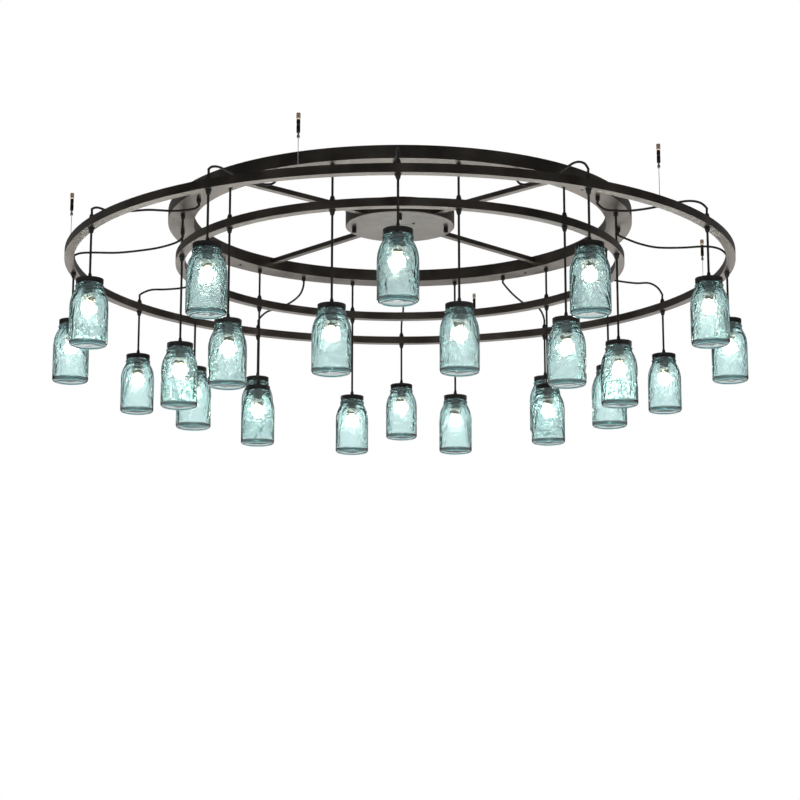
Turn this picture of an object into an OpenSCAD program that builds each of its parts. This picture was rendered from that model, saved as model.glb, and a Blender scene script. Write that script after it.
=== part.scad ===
// Semi-flush ceiling light. A canopy and a spoked raceway sit under the ceiling, two hoops
// hang below them, and twenty-four glass jars hang on cords, twelve from each hoop.
// Millimetres. The ceiling is the plane z = 0 and everything hangs below it.
// Angles start at the near side (-Y) and grow towards +X.

/* [Canopy] */
// Outside diameter of the canopy dish
canopy_d = 302; // [260:2:340]
// Height of the canopy dish below the ceiling
canopy_h = 44; // [40:1:60]
// Sheet thickness of the canopy dish
canopy_sheet = 1.5; // [1:0.1:2.5]
// Radius of the rounded lower edge of the canopy dish
canopy_edge_r = 4; // [3:0.5:6]
// Distance of the four canopy studs from the outside of the dish
stud_inset = 24; // [18:1:34]
// Diameter of the canopy studs
stud_d = 6; // [5:0.5:8]
// Diameter of the barrel nuts on the studs
barrel_nut_d = 12.5; // [11:0.5:16]
// Length of the barrel nuts
barrel_nut_h = 15; // [12:1:20]
// Distance of the two cover screws from the centre
cover_screw_r = 56; // [45:1:70]
// Angle of the first cover screw
cover_screw_angle = 42; // [30:1:60]
// Thickness of the mounting plate
plate_t = 3; // [2:0.5:5]
// Width of the mounting plate outside its studs
plate_rim = 10; // [8:1:14]
// Diameter of the wire entry in the mounting plate
wire_entry_d = 40; // [30:1:50]
// Diameter of the circle of ceiling screw holes
ceiling_pcd = 200; // [160:2:210]
// Diameter of the ceiling screw holes
ceiling_hole_d = 7; // [5:0.5:9]

/* [Raceway and spokes] */
// Radius of the centre line of the raceway, and so of the inner hoop below it
raceway_r = 604; // [560:1:650]
// Width of the raceway
raceway_w = 70; // [60:1:84]
// Height of the raceway
raceway_h = 34; // [30:1:44]
// Gap between the ceiling and the top of the raceway
raceway_gap = 16; // [12:1:20]
// Sheet thickness of the raceway
raceway_sheet = 1.5; // [1:0.1:2]
// Angle of the cover seams from the near side
seam_angle = 85.4; // [83:0.1:86]
// Opening of a cover seam
seam_gap = 0.6; // [0.4:0.1:1.5]
// Diameter of the posts that take the cover screws
post_d = 12; // [10:1:16]
// Width of a spoke
spoke_w = 18; // [15:1:24]
// Height of a spoke
spoke_h = 13; // [10:0.5:14]
// Distance from the ceiling to the top of a spoke
spoke_gap = 20; // [19:0.5:22]
// Wall of a spoke
spoke_wall = 1.5; // [1:0.1:2]
// Angle of the two near spokes from the near side
near_spoke_angle = 46.5; // [40:0.5:50]
// Angle of the two far spokes from the near side
far_spoke_angle = 137.5; // [130:0.5:141]
// Turn of the raceway, spokes and inner hoop against the outer hoop
inner_turn = -0.8; // [-1.5:0.1:1.5]

/* [Hoops] */
// Outside diameter of the outer hoop
outer_hoop_d = 1829; // [1700:1:1900]
// Width of the hoop tube
hoop_w = 25; // [23:0.5:30]
// Height of the hoop tube
hoop_h = 22; // [18:0.5:30]
// Wall of the hoop tube
hoop_wall = 2; // [1.5:0.1:2.5]
// Distance from the ceiling to the top of the outer hoop
outer_hoop_gap = 151; // [145:1:156]
// Distance from the ceiling to the top of the inner hoop
inner_hoop_gap = 143; // [120:1:160]

/* [Cord grips] */
// Diameter of the flange of a hoop grip
grip_flange_d = 19; // [17:0.5:21]
// Thickness of that flange
grip_flange_h = 1.2; // [0.8:0.1:2]
// Diameter of the nut of a hoop grip
grip_nut_d = 15; // [13.5:0.5:16]
// Height of that nut
grip_nut_h = 4.5; // [3:0.5:6]
// Height of the cone of a hoop grip
grip_cone_h = 14; // [10:1:16]
// Diameter at the end of that cone
grip_end_d = 8.4; // [8:0.2:9.5]
// Diameter of the threaded neck of every grip
grip_neck_d = 10; // [9:0.5:10.5]
// Diameter of the glands under the raceway
gland_d = 12; // [11.5:0.5:16]
// Height of the glands below the raceway
gland_h = 11; // [9:1:13]
// Width across the corners of a gland's lock nut
lock_nut_d = 17; // [15:0.5:20]
// Thickness of a lock nut
lock_nut_h = 3; // [2:0.5:4]

/* [Pendants] */
// Diameter of the pendant cord
cord_d = 6; // [5.4:0.1:6.6]
// Distance from the ceiling to the lids of the outer pendants
outer_lid_gap = 307; // [260:1:360]
// Distance from the ceiling to the lids of the inner pendants
inner_lid_gap = 406; // [360:1:460]
// Height of the tapered relief on a lid
relief_h = 13; // [10:1:18]
// Diameter at the foot of the relief
relief_d = 13; // [12:0.5:16]
// Diameter of a lid at its top
lid_d = 70; // [68:0.5:74]
// Height of a lid
lid_h = 10; // [8:0.5:12]
// Sheet thickness of a lid
lid_sheet = 0.8; // [0.6:0.1:1.2]
// Taper of a lid towards its lower edge, on the radius
lid_taper = 1.4; // [0.5:0.1:1.6]
// Radius of the rounded top edge of a lid
lid_edge_r = 2; // [1.5:0.1:3]
// Diameter of the lamp holder
holder_d = 38; // [35:0.5:40]
// Distance from the lid's top to the mouth of the lamp holder
holder_h = 46.5; // [42:0.5:50]
// Diameter of the ring on the lamp holder
holder_ring_d = 43; // [42:0.5:46]
// Height of the ring on the lamp holder
holder_ring_h = 7; // [5:0.5:10]
// Diameter of the lamp's screw base
lamp_base_d = 26.4; // [25:0.1:27]
// Diameter of the lamp's globe
lamp_d = 44; // [38:0.5:46]
// Distance from the lid's top to the middle of the globe
lamp_drop = 77; // [72:0.5:85]

/* [Jars] */
// Greatest diameter of a jar
jar_d = 98; // [90:1:108]
// Distance from the lid's top to the jar's foot
jar_h = 173.5; // [160:0.5:190]
// Wall of a jar
jar_wall = 3; // [2.5:0.1:4]
// Diameter of the jar's neck between the threads
neck_d = 62.4; // [60:0.2:62.8]
// Height of the neck, from the lid's top to the shoulder
neck_h = 27; // [25:0.5:32]
// How far the threads stand proud of the neck
thread_rise = 1; // [0.6:0.1:1]
// How far the collar under the threads stands proud of the neck
collar_rise = 5; // [3:0.5:6]
// Height of the shoulder
shoulder_h = 50; // [30:1:60]
// Radius of the rounded heel of a jar
heel_r = 7; // [5:0.5:9]
// Depth of the hollow under the jar's foot
punt_h = 2.5; // [1:0.5:4]

/* [Suspension] */
// Diameter of the suspension cables
cable_d = 1.8; // [1.4:0.1:2.2]
// Distance from the ceiling to the top of the cable grippers
gripper_gap = 15; // [8:1:30]
// Diameter of a gripper's tip
tip_d = 10; // [9:0.5:12]
// Height of a gripper's tip
tip_h = 16; // [12:1:20]
// Diameter of the threaded socket in a tip
tip_socket_d = 6; // [5:0.5:7]
// Depth of that socket
tip_socket_h = 9; // [7:0.5:10]
// Diameter of a gripper's body
gripper_d = 9; // [8:0.5:10]
// Height of a gripper's body
gripper_h = 33; // [28:1:38]
// Diameter of the release collar under a gripper
release_d = 7; // [6:0.5:8]
// Height of the release collar
release_h = 9; // [6:0.5:12]
// Travel that the release collar has
release_travel = 4; // [3:0.5:6]

/* [Hidden] */
$fn = 96;
per_hoop = 12;
pitch = 360 / per_hoop;
// Clearance on the radius of a hole, and the gap between two pieces that seat on each other
fit = 0.2;
seat_gap = 0.1;
numbers = [for (k = [1:per_hoop]) str(k < 10 ? "0" : "", k)];

frame_black = "#1d1b1a";
frame_brown = "#2b2320";
steel_grey = "#8d8d8b";
brass = "#b08a4a";
cord_black = "#141414";
aqua_glass = "#7fb5b4";
porcelain = "#e8e4da";
lamp_white = "#fffaf0";

// Heights of the main pieces, all below the ceiling
canopy_low = -canopy_h;
stud_r = canopy_d / 2 - stud_inset;
plate_d = 2 * (stud_r + plate_rim);
raceway_top = -raceway_gap;
raceway_low = raceway_top - raceway_h;
raceway_in = raceway_r - raceway_w / 2;
raceway_out = raceway_r + raceway_w / 2;
outer_r = (outer_hoop_d - hoop_w) / 2;
outer_top = -outer_hoop_gap;
outer_low = outer_top - hoop_h;
inner_top = -inner_hoop_gap;
inner_low = inner_top - hoop_h;
outer_angles = [for (k = [0:per_hoop - 1]) k * pitch];
inner_angles = [for (k = [0:per_hoop - 1]) (k + 0.5) * pitch + inner_turn];
gland_angles = concat([for (a = outer_angles) a + inner_turn], inner_angles);
spoke_angles = [for (a = [near_spoke_angle, far_spoke_angle, -far_spoke_angle, -near_spoke_angle])
                a + inner_turn];
raceway_screw_angles = [for (a = [52.5, 142.5, -127.5, -37.5]) a + inner_turn];
cable_angles = [for (k = [0:5]) -15 + k * 60];

// A cord grip: flange, nut and cone on a threaded neck, with the cord's bore through it
grip_h = grip_flange_h + grip_nut_h + grip_cone_h;
cord_bore_d = cord_d + 2 * fit;
neck_hole_d = grip_neck_d + 2 * fit;
neck_in = 4;
ball_fit = 0.4;
outer_pivot = outer_low - grip_h;
inner_pivot = inner_low - grip_h;
gland_low = raceway_low - gland_h;
gland_neck = raceway_sheet + lock_nut_h + 2;
cord_tail = 3;
cord_top = raceway_low + gland_neck + cord_tail;
cord_seat = cord_d / 2 + ball_fit;

// Lid, lamp holder and jar, measured down from the top of the lid
seal_gap = 0.3;
rim_drop = lid_sheet + seal_gap;
holder_top = -lid_sheet - seat_gap;
holder_cap_d = 28;
holder_shoulder = [6, 11];
holder_lip = 1.5;
cord_in = 5;
relief_neck_h = 6;
lamp_base_top = -18;
lamp_contact_top = -16.2;
jar_r = jar_d / 2;
neck_r = neck_d / 2;
rim_edge = 1.2;
shoulder_power = 2.2;
foot_r = jar_r - heel_r;
collar_drop = neck_h - 7.5;

// Suspension cable and gripper
tip_top = -gripper_gap;
gripper_top = tip_top - tip_h;
gripper_low = gripper_top - gripper_h;
release_top = gripper_low - release_travel;
release_stem_d = 4;
release_stem_h = 10;
stop_d = 6;
stop_h = 9;

// Feed cords of the outer pendants: points between gland and grip, [radius, height]
outer_routes = [
    [[623, -86], [668, -102], [725, -107], [795, -104], [848, -99], [884, -106]],
    [[621, -86], [666, -101], [722, -108], [790, -102], [848, -94], [884, -104]],
    [[626, -88], [680, -99], [730, -102], [785, -100], [848, -97], [884, -106]],
    [[627, -80], [664, -94], [712, -104], [780, -104], [846, -100], [884, -107]],
    [[624, -87], [672, -101], [737, -104], [802, -102], [852, -95], [884, -104]],
    [[630, -79], [675, -91], [741, -101], [800, -100], [856, -94], [887, -105]],
    [[622, -85], [668, -100], [730, -107], [798, -106], [852, -101], [884, -108]],
    [[611, -84], [634, -100], [690, -110], [770, -111], [838, -107], [878, -113]],
    [[619, -86], [664, -106], [735, -119], [805, -117], [856, -112], [885, -116]],
    [[622, -84], [666, -98], [718, -107], [785, -114], [850, -114], [884, -116]],
    [[621, -80], [675, -93], [745, -101], [800, -113], [852, -121], [886, -117]],
    [[624, -84], [680, -99], [742, -104], [800, -106], [852, -105], [885, -112]],
];
cord_lead = 8;
cord_steps = 2;
cord_sides = 8;

// Places its children at a radius, an angle and a height
module at(r, a, z = 0) rotate([0, 0, a]) translate([0, -r, z]) children();

// A flat ring with its upper face at z = 0
module washer(d_out, d_in, h) translate([0, 0, -h]) difference() {
    cylinder(d = d_out, h = h);
    translate([0, 0, -1]) cylinder(d = d_in, h = h + 2);
}

// A ring swept round the light's own axis, between two radii and two heights
module band(r_in, r_out, low, high) rotate_extrude($fn = 240) {
    translate([r_in, low]) square([r_out - r_in, high - low]);
}

// Mounting plate with its ceiling holes, four welded studs and two bosses
module mounting_plate() color(steel_grey) {
    difference() {
        union() {
            translate([0, 0, -plate_t]) cylinder(d = plate_d, h = plate_t);
            for (a = [0:90:270]) at(stud_r, a, canopy_low - barrel_nut_h + 4)
                cylinder(d = stud_d, h = canopy_h + barrel_nut_h - 5);
            for (a = [0, 180]) at(cover_screw_r, a + cover_screw_angle, canopy_low + canopy_sheet)
                cylinder(d = 10, h = canopy_h - canopy_sheet - 1);
        }
        translate([0, 0, -plate_t - 1]) cylinder(d = wire_entry_d, h = plate_t + 2);
        for (a = [45:90:315]) at(ceiling_pcd / 2, a, -plate_t - 1)
            cylinder(d = ceiling_hole_d, h = plate_t + 2);
        for (a = [0, 180]) at(cover_screw_r, a + cover_screw_angle, canopy_low + canopy_sheet - 1)
            cylinder(d = 4 + fit, h = 13);
    }
    // Terminal block under the plate
    translate([-30, -52, -plate_t - seat_gap - 16]) difference() {
        cube([60, 22, 16]);
        for (x = [10:10:50]) translate([x, 11, -1]) cylinder(d = 4, h = 9);
    }
}

// Canopy dish with holes for its studs, cover screws and the wires to the spokes
module canopy_dish() color(frame_brown) difference() {
    rotate_extrude($fn = 180) difference() {
        canopy_outline(canopy_d / 2, canopy_low, canopy_edge_r);
        canopy_outline(canopy_d / 2 - canopy_sheet, canopy_low + canopy_sheet,
                       canopy_edge_r - canopy_sheet);
    }
    for (a = [0:90:270]) at(stud_r, a, canopy_low - 1) cylinder(d = stud_d + 1, h = 4 + canopy_sheet);
    for (a = [0, 180]) at(cover_screw_r, a + cover_screw_angle, canopy_low - 1)
        cylinder(d = 4 + 2 * fit, h = 4 + canopy_sheet);
    for (a = spoke_angles) at(canopy_d / 2 - 8, a, -spoke_gap - spoke_h / 2)
        rotate([90, 0, 0]) cylinder(d = spoke_h - 2 * spoke_wall - 1, h = 12);
}

// Half section of a dish that is open at the ceiling, with a rounded lower edge
module canopy_outline(r, low, edge) {
    polygon(concat([[0, 0], [0, low]],
                   [for (t = [-90:15:0]) [r - edge + edge * cos(t), low + edge + edge * sin(t)]],
                   [[r, 0]]));
}

// Barrel nuts on the canopy studs, and the cover and raceway screws
module canopy_fasteners() color(frame_black) {
    for (a = [0:90:270]) at(stud_r, a, canopy_low) barrel_nut();
    for (a = [0, 180]) at(cover_screw_r, a + cover_screw_angle, canopy_low) pan_screw(10);
    for (a = raceway_screw_angles) at(raceway_r, a, raceway_low) pan_screw(12);
}

// A closed nut with a grooved barrel, hanging from z = 0
module barrel_nut() difference() {
    rotate_extrude() polygon([[0, 0], [barrel_nut_d / 2 - 0.6, 0], [barrel_nut_d / 2, -0.6],
                              [barrel_nut_d / 2, 1.4 - barrel_nut_h],
                              [barrel_nut_d / 2 - 1.4, -barrel_nut_h], [0, -barrel_nut_h]]);
    translate([0, 0, 3.7 - barrel_nut_h]) cylinder(d = stud_d + fit, h = barrel_nut_h);
    for (a = [0:30:330]) rotate([0, 0, a]) translate([barrel_nut_d / 2 + 0.5, 0, -barrel_nut_h - 1])
        cylinder(d = 2, h = barrel_nut_h - 2, $fn = 16);
}

// A slotted pan head screw, its head under z = 0 and its shank above
module pan_screw(shank_h) difference() {
    union() {
        cylinder(d = 3.8, h = shank_h);
        rotate_extrude() polygon([[0, 1], [0, -2.4], [2.6, -2.4], [4, -1], [4, 0], [1, 0], [1, 1]]);
    }
    translate([-5, -0.5, -3]) cube([10, 1, 1.6]);
}

// Four rectangular tubes, cut to the canopy and to the raceway
module spokes() color(frame_black) for (a = spoke_angles) rotate([0, 0, a]) difference() {
    intersection() {
        translate([-spoke_w / 2, -raceway_in - 10, -spoke_gap - spoke_h])
            cube([spoke_w, raceway_in, spoke_h]);
        band(canopy_d / 2, raceway_in, -spoke_gap - spoke_h - 1, 1 - spoke_gap);
    }
    translate([spoke_wall - spoke_w / 2, -raceway_in - 10, spoke_wall - spoke_gap - spoke_h])
        cube([spoke_w - 2 * spoke_wall, raceway_in, spoke_h - 2 * spoke_wall]);
}

// Welded channel: top strip, inner and outer wall, and the posts for the cover screws
module raceway_channel() color(frame_black) {
    wall_top = raceway_top - raceway_sheet;
    wall_low = raceway_low + raceway_sheet;
    band(raceway_in, raceway_out, wall_top, raceway_top);
    difference() {
        band(raceway_in, raceway_in + raceway_sheet, wall_low, wall_top);
        for (a = spoke_angles) at(raceway_in + 8, a, -spoke_gap - spoke_h / 2)
            rotate([-90, 0, 0]) cylinder(d = spoke_h - 2 * spoke_wall - 1, h = 14);
    }
    band(raceway_out - raceway_sheet, raceway_out, wall_low, wall_top);
    for (a = raceway_screw_angles) at(raceway_r, a, wall_low) difference() {
        cylinder(d = post_d, h = wall_top - wall_low);
        translate([0, 0, -1]) cylinder(d = 3.8 + 2 * fit, h = 14);
    }
}

// Two cover plates that close the channel and carry the glands
module raceway_covers() color(frame_black) for (side = [0, 180]) {
    span = side == 0 ? seam_angle : 180 - seam_angle;
    rotate([0, 0, inner_turn + side]) difference() {
        band(raceway_in, raceway_out, raceway_low, raceway_low + raceway_sheet);
        cover_cut(span);
        mirror([1, 0, 0]) cover_cut(span);
        for (k = [0:2 * per_hoop - 1]) at(raceway_r, k * pitch / 2, raceway_low - 1)
            cylinder(d = neck_hole_d, h = raceway_sheet + 2);
        for (a = raceway_screw_angles) at(raceway_r, a - inner_turn - side, raceway_low - 1)
            cylinder(d = 3.8 + 2 * fit, h = raceway_sheet + 2);
    }
}

// Takes away what lies beyond a seam, on the +X side and behind
module cover_cut(span) rotate([0, 0, span]) translate([-seam_gap / 2, -raceway_out - 1, raceway_low - 1])
    cut_wedge(180 - span, raceway_out + 1, raceway_sheet + 2);

// A wedge from the line along +Y, turned through an angle from it
module cut_wedge(angle, r, h) {
    translate([0, r, 0]) linear_extrude(h)
        polygon(concat([[0, 0]], [for (t = [0:angle / 4:angle + 0.01])
                                  2 * r * [sin(t), -cos(t)]]));
}

// A hoop of rectangular tube
module hoop_tube(r, top) rotate_extrude($fn = 240) translate([r - hoop_w / 2, top - hoop_h])
    difference() {
        square([hoop_w, hoop_h]);
        translate([hoop_wall, hoop_wall]) square([hoop_w - 2 * hoop_wall, hoop_h - 2 * hoop_wall]);
    }

// Outer hoop with holes for twelve cords and six cables
module outer_hoop() color(frame_black) difference() {
    hoop_tube(outer_r, outer_top);
    for (a = outer_angles) at(outer_r, a, outer_low - 1) cylinder(d = neck_hole_d, h = hoop_h + 2);
    for (a = cable_angles) at(outer_r, a, outer_top - hoop_wall - 1)
        cylinder(d = cable_d + 2 * fit, h = hoop_wall + 2);
}

// Inner hoop with holes for twelve cords
module inner_hoop() color(frame_black) difference() {
    hoop_tube(raceway_r, inner_top);
    for (a = inner_angles) at(raceway_r, a, inner_low - 1) cylinder(d = neck_hole_d, h = hoop_h + 2);
}

// A grip that stands on z = 0 with its neck below
module hoop_grip() difference() {
    rotate_extrude() polygon([
        [0, -neck_in], [grip_neck_d / 2, -neck_in], [grip_neck_d / 2, 0], [grip_flange_d / 2, 0],
        [grip_flange_d / 2, grip_flange_h], [grip_nut_d / 2, grip_flange_h],
        [grip_nut_d / 2, grip_flange_h + grip_nut_h], [grip_nut_d / 2 - 0.6, grip_flange_h + grip_nut_h],
        [grip_end_d / 2, grip_h], [0, grip_h]]);
    translate([0, 0, -neck_in - 1]) cylinder(d = cord_bore_d, h = grip_h + neck_in + 2);
}

// A grip under a hoop, with a round seat for the pendant's cord
module lower_grip() difference() {
    mirror([0, 0, 1]) hoop_grip();
    translate([0, 0, -grip_h]) sphere(r = cord_seat);
}

// A gland under the raceway cover, with its lock nut inside
module gland() {
    difference() {
        union() {
            translate([0, 0, -gland_h]) cylinder(d = gland_d, h = gland_h);
            cylinder(d = grip_neck_d, h = gland_neck);
        }
        translate([0, 0, -gland_h - 1]) cylinder(d = cord_bore_d, h = gland_h + gland_neck + 2);
    }
    translate([0, 0, raceway_sheet + lock_nut_h]) difference() {
        translate([0, 0, -lock_nut_h]) cylinder(d = lock_nut_d, h = lock_nut_h, $fn = 6);
        translate([0, 0, -lock_nut_h - 1]) cylinder(d = grip_neck_d + fit, h = lock_nut_h + 2);
    }
}

// Every cord grip and gland
module cord_grips() color(cord_black) {
    for (a = gland_angles) at(raceway_r, a, raceway_low) gland();
    for (a = outer_angles) {
        at(outer_r, a, outer_top) hoop_grip();
        at(outer_r, a, outer_low) lower_grip();
    }
    for (a = inner_angles) {
        at(raceway_r, a, inner_top) hoop_grip();
        at(raceway_r, a, inner_low) lower_grip();
    }
}

// Points on a smooth curve through a list of points, several to each stretch
function curve_point(p, i, t) =
    let (n = len(p) - 1, a = p[max(i - 1, 0)], b = p[i], c = p[i + 1], d = p[min(i + 2, n)])
    0.5 * (2 * b + (c - a) * t + (2 * a - 5 * b + 4 * c - d) * t * t
           + (3 * b - a - 3 * c + d) * t * t * t);
function curve(p, steps) = concat(
    [for (i = [0:len(p) - 2]) for (s = [0:steps - 1]) curve_point(p, i, s / steps)], [p[len(p) - 1]]);

// Route of an outer feed cord: out of the raceway, across, and down through the outer hoop
function route_rz(k) = concat(
    [[raceway_r, cord_top], [raceway_r, gland_low], [raceway_r, gland_low - cord_lead]],
    outer_routes[k],
    [[outer_r, outer_top + grip_h + cord_lead], [outer_r, outer_top + grip_h],
     [outer_r, outer_pivot + cord_seat]]);
function route_angle(k, r) =
    outer_angles[k] + inner_turn * (outer_r - r) / (outer_r - raceway_r);
function feed_route(k) = curve(
    [for (q = route_rz(k)) [q[0] * sin(route_angle(k, q[0])), -q[0] * cos(route_angle(k, q[0])), q[1]]],
    cord_steps);
function unit(v) = v / norm(v);
function tangent(p, i) = i == 0 || i == len(p) - 1 ? [0, 0, -1] : unit(p[i + 1] - p[i - 1]);

// A round tube along points that lie near one upright plane at an angle
module tube_along(p, r, a) {
    side = [cos(a), sin(a), 0];
    rings = [for (i = [0:len(p) - 1]) let (up = unit(cross(tangent(p, i), side)))
             for (s = [0:cord_sides - 1]) let (t = 360 * s / cord_sides)
             p[i] + r * (cos(t) * side + sin(t) * up)];
    last = (len(p) - 1) * cord_sides;
    polyhedron(points = rings, faces = concat(
        [[for (s = [0:cord_sides - 1]) s]],
        [[for (s = [cord_sides - 1:-1:0]) last + s]],
        [for (i = [0:len(p) - 2]) for (s = [0:cord_sides - 1])
         let (b = i * cord_sides, n = (s + 1) % cord_sides)
         [b + s, b + cord_sides + s, b + cord_sides + n, b + n]]));
}

// Cords from the raceway to the hoops: slack to the outer hoop, straight down to the inner one
module feed_cords() color(cord_black) for (k = [0:per_hoop - 1]) {
    tube_along(feed_route(k), cord_d / 2, outer_angles[k]);
    at(raceway_r, inner_angles[k], inner_pivot + cord_seat)
        cylinder(d = cord_d, h = cord_top - inner_pivot - cord_seat);
}

// Six cables with the stops that hold them inside the outer hoop
module suspension_cables() color(steel_grey) for (a = cable_angles)
    at(outer_r, a, outer_top - hoop_wall - stop_h) {
        cylinder(d = cable_d, h = gripper_top - 4 - outer_top + hoop_wall + stop_h);
        cylinder(d = stop_d, h = stop_h);
    }

// Six cable grippers: tip with its socket, body, and release collar
module cable_grippers() for (a = cable_angles) at(outer_r, a) {
    color(brass) translate([0, 0, gripper_top]) difference() {
        cylinder(d = tip_d, h = tip_h);
        translate([0, 0, tip_h - tip_socket_h]) cylinder(d = tip_socket_d, h = tip_socket_h + 1);
    }
    color(frame_brown) translate([0, 0, gripper_low]) difference() {
        cylinder(d = gripper_d, h = gripper_h - seat_gap);
        translate([0, 0, -1]) cylinder(d = cable_d + 2 * fit, h = gripper_h - 2);
        translate([0, 0, -1]) cylinder(d = release_stem_d + 2 * fit, h = release_stem_h + release_travel + 1);
    }
    color(steel_grey) translate([0, 0, release_top - release_h]) difference() {
        union() {
            cylinder(d = release_d, h = release_h);
            cylinder(d = release_stem_d, h = release_h + release_travel + release_stem_h - 4);
        }
        translate([0, 0, -1]) cylinder(d = cable_d + 2 * fit, h = release_h + release_travel + release_stem_h + 2);
    }
}

// One pendant below its hoop: cord, relief, lid, lamp holder, ring and lamp. The lid's top is z = 0.
module pendant(drop) {
    color(cord_black) translate([0, 0, -cord_in]) {
        cylinder(d = cord_d, h = drop + cord_in);
        translate([0, 0, drop + cord_in]) sphere(d = cord_d);
    }
    color(cord_black) relief();
    color(frame_black) lid();
    color(cord_black) lamp_holder();
    color(porcelain) holder_ring();
    color(lamp_white) lamp();
}

// Tapered cord relief with a threaded neck through the lid
module relief() difference() {
    rotate_extrude() polygon([
        [0, -relief_neck_h], [grip_neck_d / 2, -relief_neck_h], [grip_neck_d / 2, seat_gap],
        [relief_d / 2, seat_gap], [relief_d / 2, 2.5], [cord_d / 2 + 1, relief_h], [0, relief_h]]);
    translate([0, 0, -relief_neck_h - 1]) cylinder(d = cord_bore_d, h = relief_h + relief_neck_h + 2);
}

// Pressed lid with a rounded top edge and a slight taper
module lid() difference() {
    rotate_extrude() difference() {
        lid_outline(lid_d / 2, 0, lid_edge_r);
        lid_outline(lid_d / 2 - lid_sheet, -lid_sheet, lid_edge_r - lid_sheet);
    }
    translate([0, 0, -lid_sheet - 1]) cylinder(d = neck_hole_d, h = lid_sheet + 2);
}
module lid_outline(r, top, edge) polygon(concat(
    [[0, top]], [for (t = [90:-15:0]) [r - edge + edge * cos(t), top - edge + edge * sin(t)]],
    [[r - lid_taper, -lid_h], [r - lid_taper, -lid_h - (top == 0 ? 0 : 1)],
     [0, -lid_h - (top == 0 ? 0 : 1)]]));

// Lamp holder, screwed on the relief's neck under the lid
module lamp_holder() difference() {
    rotate_extrude() polygon([
        [0, holder_top], [holder_cap_d / 2, holder_top], [holder_cap_d / 2, -holder_shoulder[0]],
        [holder_d / 2, -holder_shoulder[1]], [holder_d / 2, -holder_h], [0, -holder_h]]);
    translate([0, 0, -relief_neck_h - 1]) cylinder(d = neck_hole_d, h = relief_neck_h + 2);
    translate([0, 0, -holder_h - 1])
        cylinder(d = lamp_base_d + 2 * fit, h = holder_h + 1 + lamp_contact_top + fit);
}

// Ring that closes the lamp holder round the lamp
module holder_ring() translate([0, 0, -holder_h - seat_gap - holder_lip]) difference() {
    cylinder(d = holder_ring_d, h = holder_ring_h);
    translate([0, 0, holder_lip]) cylinder(d = holder_d + 2 * fit, h = holder_ring_h);
    translate([0, 0, -1]) cylinder(d = lamp_base_d + 2 * fit, h = holder_lip + 2);
}

// Globe lamp with its screw base and contact
module lamp() {
    translate([0, 0, -lamp_drop]) sphere(d = lamp_d);
    translate([0, 0, -lamp_drop]) cylinder(d = lamp_base_d, h = lamp_drop + lamp_base_top);
    translate([0, 0, lamp_base_top])
        cylinder(d1 = lamp_base_d - 4, d2 = 9, h = lamp_contact_top - lamp_base_top);
}

// One jar, turned round its own axis. The lid's top is z = 0.
module jar() color(aqua_glass) rotate_extrude() difference() {
    polygon(concat(
        [[0, -rim_drop], [neck_r - rim_edge, -rim_drop], [neck_r, -rim_drop - rim_edge]],
        [[neck_r, -4], [neck_r + thread_rise, -5], [neck_r + thread_rise, -6.5], [neck_r, -7.5]],
        [[neck_r, -lid_h - 0.6], [neck_r + 2 * thread_rise, -lid_h - 2], [neck_r + 1, -lid_h - 4]],
        [[neck_r + collar_rise - 1, -collar_drop + 2.5], [neck_r + collar_rise, -collar_drop + 1],
         [neck_r + collar_rise, -collar_drop - 1], [neck_r + collar_rise - 1.5, -collar_drop - 4]],
        shoulder(neck_r + collar_rise - 1.5, jar_r, neck_h, 8),
        heel(foot_r, -jar_h + heel_r, heel_r),
        [[foot_r - 5, -jar_h], [foot_r - 8, -jar_h + punt_h], [0, -jar_h + punt_h]]));
    polygon(concat(
        [[0, 0], [neck_r - jar_wall, 0], [neck_r - jar_wall, -lid_h]],
        [[neck_r + collar_rise - 2.5 - jar_wall, -collar_drop]],
        shoulder(neck_r + collar_rise - 2.5 - jar_wall, jar_r - jar_wall, neck_h, 6),
        heel(foot_r, -jar_h + heel_r + 0.5, heel_r - jar_wall),
        [[0, -jar_h + punt_h + jar_wall]]));
}
// Points down a shoulder, steep at the neck and upright at the body
function shoulder(r1, r2, drop, n) = [for (i = [0:n]) let (s = i / n)
    [r1 + (r2 - r1) * (1 - pow(1 - s, shoulder_power)), -drop - s * shoulder_h]];
// Points round a heel whose middle is at a radius and a height
function heel(r, z, edge) = [for (t = [0:-18:-90]) [r + edge * cos(t), z + edge * sin(t)]];

mounting_plate();
canopy_dish();
canopy_fasteners();
spokes();
raceway_channel();
raceway_covers();
outer_hoop();
inner_hoop();
cord_grips();
feed_cords();
suspension_cables();
cable_grippers();
for (k = [0:per_hoop - 1]) {
    n = numbers[k];
    at(outer_r, outer_angles[k], -outer_lid_gap) pendant(outer_pivot + outer_lid_gap);
    at(outer_r, outer_angles[k], -outer_lid_gap) jar();
    at(raceway_r, inner_angles[k], -inner_lid_gap) pendant(inner_pivot + inner_lid_gap);
    at(raceway_r, inner_angles[k], -inner_lid_gap) jar();
}
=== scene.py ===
from math import cos, hypot, pi, radians, sin

import bpy
from mathutils import Matrix, Vector, noise


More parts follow.
